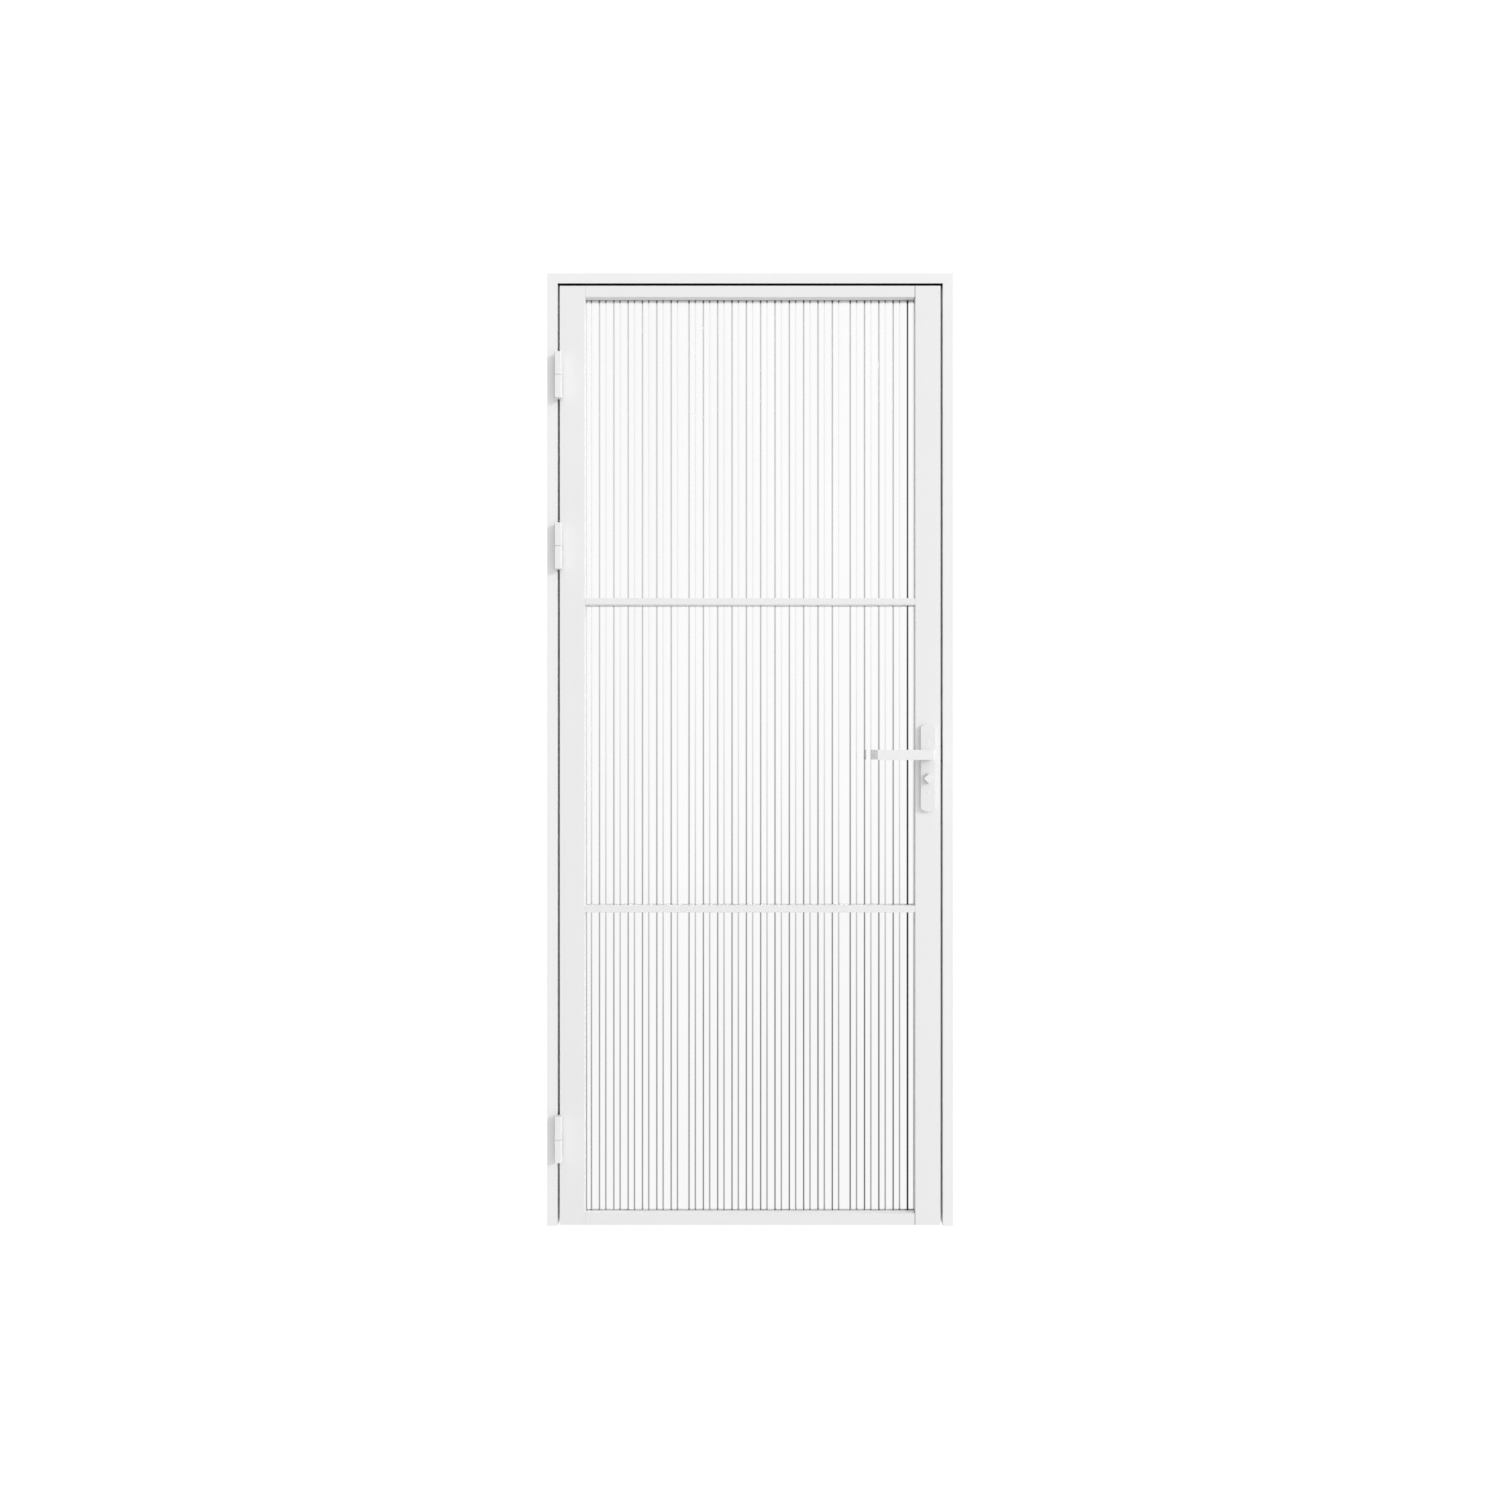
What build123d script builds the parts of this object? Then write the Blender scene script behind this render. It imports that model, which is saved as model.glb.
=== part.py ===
from build123d import *
import os

# Single interior door with its frame: a flush leaf of thin white profiles round one
# tall sheet of reeded glass, on three lift-off hinges, with a lever on narrow plates.
# X runs from the wall face of the hinge jamb to the lock jamb, Y from the front
# faces of frame and leaf to the rear, Z up from the floor. All sizes are millimetres.

# Frame lining and the stop on it
frame_width = 880.0
frame_height = 2066.0
frame_face = 22.0
frame_wall = 2.0
stop_cover = 15.0
stop_depth = 26.0
fixing_hole_radius = 3.5
jamb_fixing_count = 4
jamb_fixing_end_space = 208.0

# Clearances round the leaf
leaf_gap = 5.0
floor_gap = 2.0
stop_space = 9.0

# Rebate seal
seal_thickness = 2.0
seal_lip = 1.0
seal_flange = 1.0
seal_bead_radius = 4.0
seal_end_clearance = 0.5

# Leaf profiles
leaf_thickness = 40.0
stile_width = 55.0
rail_face = 25.0
profile_wall = 3.0
rail_wall = 2.0
front_lip = 17.0
glass_cover = 12.0
cap_depth = 6.0

# Glazing
bead_wall = 1.5
bar_wall = 2.0
gasket_thickness = 2.0
glass_thickness = 8.0
glass_edge_clearance = 2.0
bead_bevel = 3.0
bar_height = 14.5
bar_bevel = 0.8
pane_count = 3

# Reeds rolled into the front of the glass, in pairs of a narrow and a broad one
first_groove = 47.0
narrow_reed = 13.8
broad_reed = 17.5
extra_broad_reed = 25.3
extra_broad_pairs = (7, 18)
deep_groove = 2.0
shallow_groove = 1.2

# Hinges
knuckle_half_width = 7.5
knuckle_corner_radius = 2.0
knuckle_length = 100.0
knuckle_joint = 1.2
knuckle_bevel = 1.0
knuckle_face_clearance = 3.5
axle_x = 26.0
washer_inset = 1.5
pin_radius = 4.0
pin_running_clearance = 0.05
pin_cover = 5.0
hinge_plate_thickness = 2.0
hinge_plate_depth = 30.0
hinge_plate_height = 46.0
upper_hinge_below_top = 198.0
middle_hinge_below_upper = 369.0
lower_hinge_above_floor = 192.0

# Lock
lever_height = 1021.5
backset = 28.5
faceplate_thickness = 2.0
faceplate_width = 22.0
faceplate_height = 160.0
lock_case_depth = 34.0
lock_case_width = 15.5
lock_case_height = 98.0
lock_centre_below_lever = 24.0
lock_pocket_clearance = 0.25
spindle_hole_radius = 7.0
latch_length = 16.0
latch_width = 12.0
latch_height = 34.0
latch_bevel = 1.5
latch_running_clearance = 0.3
latch_throw = 12.0

# Strike keep
keep_thickness = 2.0
keep_height = 68.0
keep_clearance = 5.0
keep_cup_wall = 1.5

# Backplates
plate_width = 32.0
plate_height = 190.0
plate_thickness = 8.0
plate_end_bow = 7.0
plate_corner_radius = 2.0
plate_edge_bevel = 0.4
plate_centre_below_lever = 28.0
plate_screw_above_lever = 29.0
plate_screw_spacing = 111.0
plate_screw_radius = 2.2

# Lever handles
lever_bar_height = 21.5
lever_bar_thickness = 10.0
lever_reach = 55.0
lever_length = 114.0
lever_neck_width = 18.0
lever_bend_radius = 5.0
lever_inner_radius = 3.0
lever_edge_bevel = 0.4
lever_collar_radius = 9.0
lever_plate_gap = 1.0
collar_running_clearance = 0.05
collar_insert = 7.0
spindle_size = 8.0
spindle_engagement = 25.0

# Privacy thumbturn
thumbturn_below_lever = 51.0
thumbturn_size = 16.3
thumbturn_reach = 15.0
thumbturn_collar_radius = 6.0
thumbturn_plate_gap = 1.0
thumbturn_edge_bevel = 0.4
thumbturn_spindle_size = 5.0
release_proud = 1.0
release_slot_width = 1.6
release_slot_depth = 1.0

# How far a cutting shape runs past the faces that it cuts
cut_overrun = 1.0

# Places worked out from the sizes above
stop_front = leaf_thickness + stop_space
stop_edge = frame_face + stop_cover
seal_bed = frame_face - seal_thickness
frame_depth = stop_front + stop_depth
inner_face = frame_width - frame_face
leaf_left = frame_face + leaf_gap
leaf_right = frame_width - leaf_left
leaf_bottom = floor_gap
leaf_top = frame_height - frame_face - leaf_gap
leaf_middle = leaf_thickness / 2
sight_left = leaf_left + stile_width
sight_right = leaf_right - stile_width
sight_bottom = leaf_bottom + rail_face
sight_top = leaf_top - rail_face
glass_front = front_lip + gasket_thickness
glass_rear = glass_front + glass_thickness
bead_front = glass_rear + gasket_thickness
pane_height = (sight_top - sight_bottom - (pane_count - 1) * bar_height) / pane_count
axle_y = -(knuckle_half_width + knuckle_face_clearance)
lever_x = leaf_right - backset
lock_centre_z = lever_height - lock_centre_below_lever
thumbturn_z = lever_height - thumbturn_below_lever
plate_centre_z = lever_height - plate_centre_below_lever
upper_screw_z = lever_height + plate_screw_above_lever
plate_screw_heights = (upper_screw_z, upper_screw_z - plate_screw_spacing)
keep_width = 2 * leaf_middle
keep_hole_height = latch_height + 2 * keep_clearance
keep_hole_width = latch_width + 2 * keep_clearance
keep_cup_depth = latch_throw - leaf_gap + keep_clearance
upper_hinge_z = leaf_top - upper_hinge_below_top
hinge_heights = {
    "upper": upper_hinge_z,
    "middle": upper_hinge_z - middle_hinge_below_upper,
    "lower": lower_hinge_above_floor,
}
jamb_fixing_spacing = (frame_height - 2 * jamb_fixing_end_space) / (jamb_fixing_count - 1)


def block(x_range, y_range, z_range):
    """A box between two places along each axis."""
    size = [high - low for low, high in (x_range, y_range, z_range)]
    corner = (x_range[0], y_range[0], z_range[0])
    return Pos(*corner) * Box(*size, align=(Align.MIN, Align.MIN, Align.MIN))


def upright_rod(x, y, z_range, radius):
    """A round bar along Z between two heights."""
    low, high = z_range
    return Pos(x, y, low) * Cylinder(radius, high - low, align=(Align.CENTER, Align.CENTER, Align.MIN))


def cross_rod(x, z, y_range, radius):
    """A round bar along Y between two depths."""
    low, high = y_range
    return Pos(x, (low + high) / 2, z) * Rot(90, 0, 0) * Cylinder(radius, high - low)


def square_rod(x, z, y_range, side, turn=0):
    """A square bar along Y, turned about its own axis."""
    low, high = y_range
    return Pos(x, (low + high) / 2, z) * Rot(0, turn, 0) * Box(side, high - low, side)


def outline(points):
    """A flat face with straight sides through the points."""
    return make_face(Polyline(*points, close=True))


def rectangle(x_range, y_range):
    """A flat rectangle between two places along each axis."""
    (left, right), (low, high) = x_range, y_range
    return outline([(left, low), (right, low), (right, high), (left, high)])


def chamber(face, wall):
    """The space left inside a profile with walls of this thickness."""
    return offset(face, -wall, kind=Kind.INTERSECTION)


def hollow(face, wall):
    """The profile with only its walls."""
    return face - chamber(face, wall)


def mirrored_in_width(shape):
    """The shape on the other side of the doorway."""
    return mirror(shape, Plane.YZ.offset(frame_width / 2))


def mirrored_in_leaf(shape):
    """The shape on the other side of the leaf's thickness."""
    return mirror(shape, Plane.XZ.offset(-leaf_middle))


# Frame profiles: X of the sketch is the distance in from the wall, Y the depth


def lining_profile():
    """Hollow lining of the wall opening, with a nib in front of the seal."""
    lining = hollow(rectangle((0, seal_bed), (0, frame_depth)), frame_wall)
    return lining + rectangle((seal_bed, frame_face), (0, seal_lip))


def stop_profile():
    """Hollow stop behind the leaf, clipped on over the screws in the lining."""
    return hollow(rectangle((seal_bed, stop_edge), (stop_front, frame_depth)), frame_wall)


def seal_profile():
    """Rubber on the lining between nib and stop, with a round bead behind the leaf's edge."""
    bead_centre = frame_face + leaf_gap + seal_bead_radius
    strip = rectangle((seal_bed, frame_face), (seal_lip, stop_front))
    flange = rectangle((frame_face, bead_centre), (stop_front - seal_flange, stop_front))
    bead = Pos(bead_centre, stop_front) * Circle(seal_bead_radius)
    in_front = rectangle((frame_face, frame_width), (seal_lip, stop_front))
    return strip + flange + (bead & in_front)


def mitre_plane():
    """The plane through the upper corner of the hinge jamb, at 45 degrees."""
    return Plane(origin=(0, 0, frame_height), x_dir=(0, 1, 0), z_dir=(1, 0, 1))


def jamb_run(profile):
    """The profile run up the hinge side and mitred at the top."""
    run = extrude(profile, frame_height)
    return split(run, bisect_by=mitre_plane(), keep=Keep.BOTTOM)


def head_run(profile):
    """The profile run across the top and mitred at both ends."""
    across = Plane(origin=(0, 0, frame_height), x_dir=(0, 0, -1), z_dir=(1, 0, 0))
    run = extrude(across * profile, frame_width)
    run = split(run, bisect_by=mitre_plane(), keep=Keep.TOP)
    run = mirrored_in_width(run)
    return split(run, bisect_by=mitre_plane(), keep=Keep.TOP)


def jamb_fixing_holes():
    """Holes for the screws into the wall, under the stop of the hinge jamb."""
    y = stop_front + stop_depth / 2
    hole = Rot(0, 90, 0) * Cylinder(fixing_hole_radius, 2 * (seal_bed + cut_overrun))
    heights = [jamb_fixing_end_space + i * jamb_fixing_spacing for i in range(jamb_fixing_count)]
    return [Pos(0, y, z) * hole for z in heights]


def hinge_plate_range(z, upper):
    """Lowest and highest point of one hinge plate, on the frame or on the leaf."""
    end_space = knuckle_length / 2 - hinge_plate_height
    if upper:
        return (z + end_space, z + knuckle_length / 2)
    return (z - knuckle_length / 2, z - end_space)


def hinge_jamb_pockets(grow=0.0):
    """Recesses for the hinge plates in the hinge jamb, grown for those in its seal."""
    pockets = []
    for z in hinge_heights.values():
        low, high = hinge_plate_range(z, upper=False)
        x_range = (frame_face - hinge_plate_thickness - grow, frame_face + cut_overrun)
        y_range = (-cut_overrun, hinge_plate_depth + grow)
        pockets.append(block(x_range, y_range, (low - grow, high + grow)))
    return pockets


def keep_plate(grow=0.0):
    """Block of the keep's plate in the lock jamb, grown for the notch in the seal."""
    return block(
        (inner_face - grow, inner_face + keep_thickness + grow),
        (leaf_middle - keep_width / 2 - grow, leaf_middle + keep_width / 2 + grow),
        (lever_height - keep_height / 2 - grow, lever_height + keep_height / 2 + grow),
    )


def keep_cup(grow=0.0):
    """Block of the space that the latch enters, grown for the cup round it."""
    return block(
        (inner_face, inner_face + keep_cup_depth + grow),
        (leaf_middle - keep_hole_width / 2 - grow, leaf_middle + keep_hole_width / 2 + grow),
        (lever_height - keep_hole_height / 2 - grow, lever_height + keep_hole_height / 2 + grow),
    )


def strike_keep():
    """Plate let into the lock jamb with a closed cup behind its opening."""
    return keep_plate() + keep_cup(keep_cup_wall) - keep_cup()


def hinge_jamb():
    """Lining of the hinge side with the places for three hinge plates."""
    return jamb_run(lining_profile()) - jamb_fixing_holes() - hinge_jamb_pockets()


def lock_jamb():
    """Lining of the lock side with the place for the keep."""
    jamb = mirrored_in_width(jamb_run(lining_profile()) - jamb_fixing_holes())
    return jamb - keep_plate() - keep_cup(keep_cup_wall)


def hinge_jamb_seal():
    """Seal up the hinge side, notched round the hinge plates."""
    return jamb_run(seal_profile()) - hinge_jamb_pockets(seal_end_clearance)


def lock_jamb_seal():
    """Seal up the lock side, notched round the keep."""
    return mirrored_in_width(jamb_run(seal_profile())) - keep_plate(seal_end_clearance)


def head_seal():
    """Seal across the top."""
    return head_run(seal_profile())


# Leaf profiles: X of the sketch is the distance in from the leaf's edge, Y the depth


def leaf_profile(width):
    """Outer shape of a stile or rail with the glass rebate behind its front lip."""
    rebate = width - glass_cover
    return outline(
        [
            (0, 0),
            (width, 0),
            (width, front_lip),
            (rebate, front_lip),
            (rebate, leaf_thickness),
            (0, leaf_thickness),
        ]
    )


def upright_in_leaf(face, z_range):
    """A profile run up the hinge side of the leaf between two heights."""
    low, high = z_range
    return Pos(leaf_left, 0, low) * extrude(face, high - low)


def stile():
    """Hollow stile of the hinge side the full height of the leaf."""
    return upright_in_leaf(hollow(leaf_profile(stile_width), profile_wall), (leaf_bottom, leaf_top))


def hinge_stile():
    """Stile with the hinge plates let into its edge."""
    x_range = (leaf_left - cut_overrun, leaf_left + hinge_plate_thickness)
    y_range = (-cut_overrun, hinge_plate_depth)
    heights = [hinge_plate_range(z, upper=True) for z in hinge_heights.values()]
    return stile() - [block(x_range, y_range, z_range) for z_range in heights]


def spindle_bores():
    """Holes through the leaf for the two spindles."""
    through = (-cut_overrun, leaf_thickness + cut_overrun)
    return [
        cross_rod(lever_x, lever_height, through, spindle_hole_radius),
        cross_rod(lever_x, thumbturn_z, through, thumbturn_collar_radius),
    ]


def screw_bores():
    """Holes for the two screws that clamp the backplates, blind in the rear plate."""
    through = (-plate_thickness - cut_overrun, leaf_thickness + plate_thickness / 2)
    return [cross_rod(lever_x, z, through, plate_screw_radius) for z in plate_screw_heights]


def lock_stile():
    """Stile with the slot for the lock in its edge and bores under the backplates."""
    grow = lock_pocket_clearance
    recess = block(
        (leaf_right - faceplate_thickness, leaf_right + cut_overrun),
        (leaf_middle - faceplate_width / 2, leaf_middle + faceplate_width / 2),
        (lock_centre_z - faceplate_height / 2, lock_centre_z + faceplate_height / 2),
    )
    slot = block(
        (leaf_right - profile_wall - cut_overrun, leaf_right),
        (leaf_middle - lock_case_width / 2 - grow, leaf_middle + lock_case_width / 2 + grow),
        (lock_centre_z - lock_case_height / 2 - grow, lock_centre_z + lock_case_height / 2 + grow),
    )
    return mirrored_in_width(stile()) - recess - slot - spindle_bores() - screw_bores()


def stile_caps():
    """Plugs flush in both ends of both stiles."""
    plug = chamber(leaf_profile(stile_width), profile_wall)
    bottom = upright_in_leaf(plug, (leaf_bottom, leaf_bottom + cap_depth))
    top = upright_in_leaf(plug, (leaf_top - cap_depth, leaf_top))
    return Compound([bottom, top, mirrored_in_width(bottom), mirrored_in_width(top)])


def bottom_rail():
    """Hollow rail between the stiles, coped so that its rear fills the stile rebates."""
    along = Plane(origin=(sight_left - glass_cover, 0, leaf_bottom), x_dir=(0, 0, 1), z_dir=(-1, 0, 0))
    full_length = sight_right - sight_left + 2 * glass_cover
    rail = extrude(along * hollow(leaf_profile(rail_face), rail_wall), -full_length)
    lip = block(
        (sight_left - glass_cover, sight_left),
        (-cut_overrun, front_lip),
        (leaf_bottom, leaf_bottom + rail_face),
    )
    return rail - lip - mirrored_in_width(lip)


def flipped_in_height(shape):
    """The shape at the other end of the leaf's height."""
    return mirror(shape, Plane.XY.offset((leaf_bottom + leaf_top) / 2))


# Glazing


def reed(x, width, depth_before, depth_after):
    """Two arcs that rise from the grooves at the sides and meet level at the crest."""
    crest = (x + width / 2, glass_front)
    rise = TangentArc(crest, (x, glass_front + depth_before), tangent=(-1, 0))
    fall = TangentArc(crest, (x + width, glass_front + depth_after), tangent=(1, 0))
    return [rise, fall]


def reed_line():
    """Front of the glass: reeds in pairs that meet in sharp grooves, and where they end."""
    arcs = []
    x = first_groove
    pair = 0
    while x < frame_width - first_groove:
        broad = extra_broad_reed if pair in extra_broad_pairs else broad_reed
        arcs += reed(x, narrow_reed, deep_groove, shallow_groove)
        arcs += reed(x + narrow_reed, broad, shallow_groove, deep_groove)
        x += narrow_reed + broad
        pair += 1
    return arcs, x


def reeded_glass():
    """One sheet the full height of the leaf, reeded in front and flat behind."""
    arcs, end = reed_line()
    deep = glass_front + deep_groove
    back = Polyline((end, deep), (end, glass_rear), (first_groove, glass_rear), (first_groove, deep))
    reach = glass_cover - glass_edge_clearance
    width = rectangle(
        (sight_left - reach, sight_right + reach),
        (glass_front - cut_overrun, glass_rear + cut_overrun),
    )
    height = sight_top - sight_bottom + 2 * reach
    return Pos(0, 0, sight_bottom - reach) * extrude(make_face(arcs + [back]) & width, height)


def gasket(y_range):
    """Rubber ring flush with the sight line, as wide as the glass is covered."""
    front, rear = y_range
    reach = glass_cover - glass_edge_clearance
    ring = block(
        (sight_left - reach, sight_right + reach),
        y_range,
        (sight_bottom - reach, sight_top + reach),
    )
    opening = block(
        (sight_left, sight_right),
        (front - cut_overrun, rear + cut_overrun),
        (sight_bottom, sight_top),
    )
    return ring - opening


def bead_profile():
    """Hollow rear glazing bead, bevelled on its open edge."""
    face = outline(
        [
            (0, bead_front),
            (glass_cover, bead_front),
            (glass_cover, leaf_thickness - bead_bevel),
            (glass_cover - bead_bevel, leaf_thickness),
            (0, leaf_thickness),
        ]
    )
    return hollow(face, bead_wall)


def side_bead():
    """Bead along the hinge stile, between the coped rail ends."""
    low = leaf_bottom + rail_face - glass_cover
    high = leaf_top - rail_face + glass_cover
    return Pos(sight_left - glass_cover, 0, low) * extrude(bead_profile(), high - low)


def bottom_bead():
    """Bead along the bottom rail, between the side beads."""
    corner = (sight_left, 0, sight_bottom - glass_cover)
    along = Plane(origin=corner, x_dir=(0, 0, 1), z_dir=(-1, 0, 0))
    return extrude(along * bead_profile(), -(sight_right - sight_left))


def glazing_bar(index, y_range):
    """Hollow bar across the glass above the pane of this number, counted from the floor."""
    front, rear = y_range
    low = sight_bottom + index * pane_height + (index - 1) * bar_height
    high = low + bar_height
    bar = block((sight_left, sight_right), y_range, (low, high))
    outer_y = front if front < leaf_middle else rear
    edges = bar.edges().filter_by(Axis.X).filter_by_position(Axis.Y, outer_y, outer_y)
    inside = block(
        (sight_left - cut_overrun, sight_right + cut_overrun),
        (front + bar_wall, rear - bar_wall),
        (low + bar_wall, high - bar_wall),
    )
    return chamfer(edges, bar_bevel) - inside


# Hinges


def knuckle(z_range):
    """Flat-faced bar with rounded corners round the pin of a hinge."""
    low, high = z_range
    face = rectangle(
        (axle_x - knuckle_half_width, axle_x + knuckle_half_width),
        (axle_y - knuckle_half_width, axle_y + knuckle_half_width),
    )
    face = fillet(face.vertices(), knuckle_corner_radius)
    return Pos(0, 0, low) * extrude(face, high - low)


def hinge_half(z, upper):
    """Knuckle with the plate that runs back from it into the gap."""
    if upper:
        z_range = (z + knuckle_joint / 2, z + knuckle_length / 2)
        plate_x = (leaf_left, leaf_left + hinge_plate_thickness)
    else:
        z_range = (z - knuckle_length / 2, z - knuckle_joint / 2)
        plate_x = (frame_face - hinge_plate_thickness, frame_face)
    body = knuckle(z_range)
    far_end = body.faces().sort_by(Axis.Z)[-1 if upper else 0]
    plate = block(plate_x, (axle_y, hinge_plate_depth), hinge_plate_range(z, upper))
    return chamfer(far_end.edges(), knuckle_bevel) + plate


def frame_hinge_half(z):
    """Lower half with the pin pressed into it and a washer under the upper half."""
    washer_z = (z - knuckle_joint / 2, z + knuckle_joint / 2 - pin_running_clearance)
    washer = upright_rod(axle_x, axle_y, washer_z, knuckle_half_width - washer_inset)
    pin_z = (z - knuckle_joint / 2, z + knuckle_length / 2 - pin_cover)
    return hinge_half(z, upper=False) + washer + upright_rod(axle_x, axle_y, pin_z, pin_radius)


def leaf_hinge_half(z):
    """Upper half, bored to lift on and off the pin."""
    bore_z = (z, z + knuckle_length / 2 - pin_cover + pin_running_clearance)
    bore_radius = pin_radius + pin_running_clearance
    return hinge_half(z, upper=True) - upright_rod(axle_x, axle_y, bore_z, bore_radius)


# Lock and its furniture


def latch_space(grow=0.0):
    """Block of the latch bolt drawn back flush with the faceplate, grown on its sides."""
    return block(
        (leaf_right - latch_length - grow, leaf_right),
        (leaf_middle - latch_width / 2 - grow, leaf_middle + latch_width / 2 + grow),
        (lever_height - latch_height / 2 - grow, lever_height + latch_height / 2 + grow),
    )


def latch_bolt():
    """Latch bolt with its outer rim bevelled."""
    bolt = latch_space()
    outer_face = bolt.faces().sort_by(Axis.X)[-1]
    return chamfer(outer_face.edges(), latch_bevel)


def lock_case():
    """Slim case behind the faceplate with the latch guide and the spindle bores."""
    front = leaf_right - faceplate_thickness
    case = block(
        (front - lock_case_depth, front),
        (leaf_middle - lock_case_width / 2, leaf_middle + lock_case_width / 2),
        (lock_centre_z - lock_case_height / 2, lock_centre_z + lock_case_height / 2),
    )
    return case - latch_space(latch_running_clearance) - spindle_bores()


def lock_faceplate():
    """Plate in the leaf's edge with the hole for the latch bolt."""
    plate = block(
        (leaf_right - faceplate_thickness, leaf_right),
        (leaf_middle - faceplate_width / 2, leaf_middle + faceplate_width / 2),
        (lock_centre_z - faceplate_height / 2, lock_centre_z + faceplate_height / 2),
    )
    return plate - latch_space(latch_running_clearance)


def backplate():
    """Front plate with bowed ends, bored for the lever and the thumbturn."""
    half_width = plate_width / 2
    side = plate_height / 2 - plate_end_bow
    top = ThreePointArc((-half_width, side), (0, plate_height / 2), (half_width, side))
    bottom = ThreePointArc((half_width, -side), (0, -plate_height / 2), (-half_width, -side))
    right = Line((half_width, side), (half_width, -side))
    left = Line((-half_width, -side), (-half_width, side))
    face = make_face([top, right, bottom, left])
    face = fillet(face.vertices(), plate_corner_radius)
    plate = Pos(lever_x, 0, plate_centre_z) * extrude(Plane.XZ * face, plate_thickness)
    plate = chamfer(plate.faces().sort_by(Axis.Y)[0].edges(), plate_edge_bevel)
    through = (-plate_thickness - cut_overrun, cut_overrun)
    lever_bore_radius = lever_collar_radius + collar_running_clearance
    thumb_bore_radius = thumbturn_collar_radius + collar_running_clearance
    plate = plate - cross_rod(lever_x, lever_height, through, lever_bore_radius)
    return plate - cross_rod(lever_x, thumbturn_z, through, thumb_bore_radius)


def lever():
    """Flat bar bent at a right angle, with a round collar that turns in the plate."""
    half_neck = lever_neck_width / 2
    bar_rear = -lever_reach + lever_bar_thickness
    neck_end = -plate_thickness - lever_plate_gap
    face = outline(
        [
            (half_neck, -lever_reach),
            (half_neck, neck_end),
            (-half_neck, neck_end),
            (-half_neck, bar_rear),
            (-lever_length, bar_rear),
            (-lever_length, -lever_reach),
        ]
    )
    bend = face.vertices().sort_by_distance((half_neck, -lever_reach, 0))[0]
    face = fillet(bend, lever_bend_radius)
    inner = face.vertices().sort_by_distance((-half_neck, bar_rear, 0))[0]
    face = fillet(inner, lever_inner_radius)
    bar = Pos(lever_x, 0, lever_height - lever_bar_height / 2) * extrude(face, lever_bar_height)
    rims = bar.edges().filter_by(GeomType.LINE).filter_by(Axis.X)
    bar = chamfer(rims, lever_edge_bevel)
    collar_end = -plate_thickness + collar_insert
    collar = cross_rod(lever_x, lever_height, (neck_end, collar_end), lever_collar_radius)
    hole_end = -plate_thickness - spindle_engagement
    return bar + collar - square_rod(lever_x, lever_height, (hole_end, 0), spindle_size)


def lever_spindle():
    """Square bar that joins the two levers."""
    reach = plate_thickness + spindle_engagement
    return square_rod(lever_x, lever_height, (-reach, leaf_thickness + reach), spindle_size)


def thumbturn_knob():
    """Square knob standing on its corner, with a collar that turns in the plate."""
    base = -plate_thickness - thumbturn_plate_gap
    knob = square_rod(lever_x, thumbturn_z, (base - thumbturn_reach, base), thumbturn_size, 45)
    knob = chamfer(knob.faces().sort_by(Axis.Y)[0].edges(), thumbturn_edge_bevel)
    collar = cross_rod(lever_x, thumbturn_z, (base, -cut_overrun), thumbturn_collar_radius)
    hole = square_rod(lever_x, thumbturn_z, (base - thumbturn_reach / 2, 0), thumbturn_spindle_size)
    return knob + collar - hole


def thumbturn_release():
    """Disc with a coin slot in the rear plate, on the square spindle of the knob."""
    outer = leaf_thickness + plate_thickness + release_proud
    inner = leaf_thickness + plate_thickness / 2
    knob_hole_end = -plate_thickness - thumbturn_plate_gap - thumbturn_reach / 2
    disc = cross_rod(lever_x, thumbturn_z, (inner, outer), thumbturn_collar_radius)
    slot = block(
        (lever_x - 2 * thumbturn_collar_radius, lever_x + 2 * thumbturn_collar_radius),
        (outer - release_slot_depth, outer + cut_overrun),
        (thumbturn_z - release_slot_width / 2, thumbturn_z + release_slot_width / 2),
    )
    spindle = square_rod(lever_x, thumbturn_z, (knob_hole_end, inner), thumbturn_spindle_size)
    return disc + spindle - slot


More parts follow.
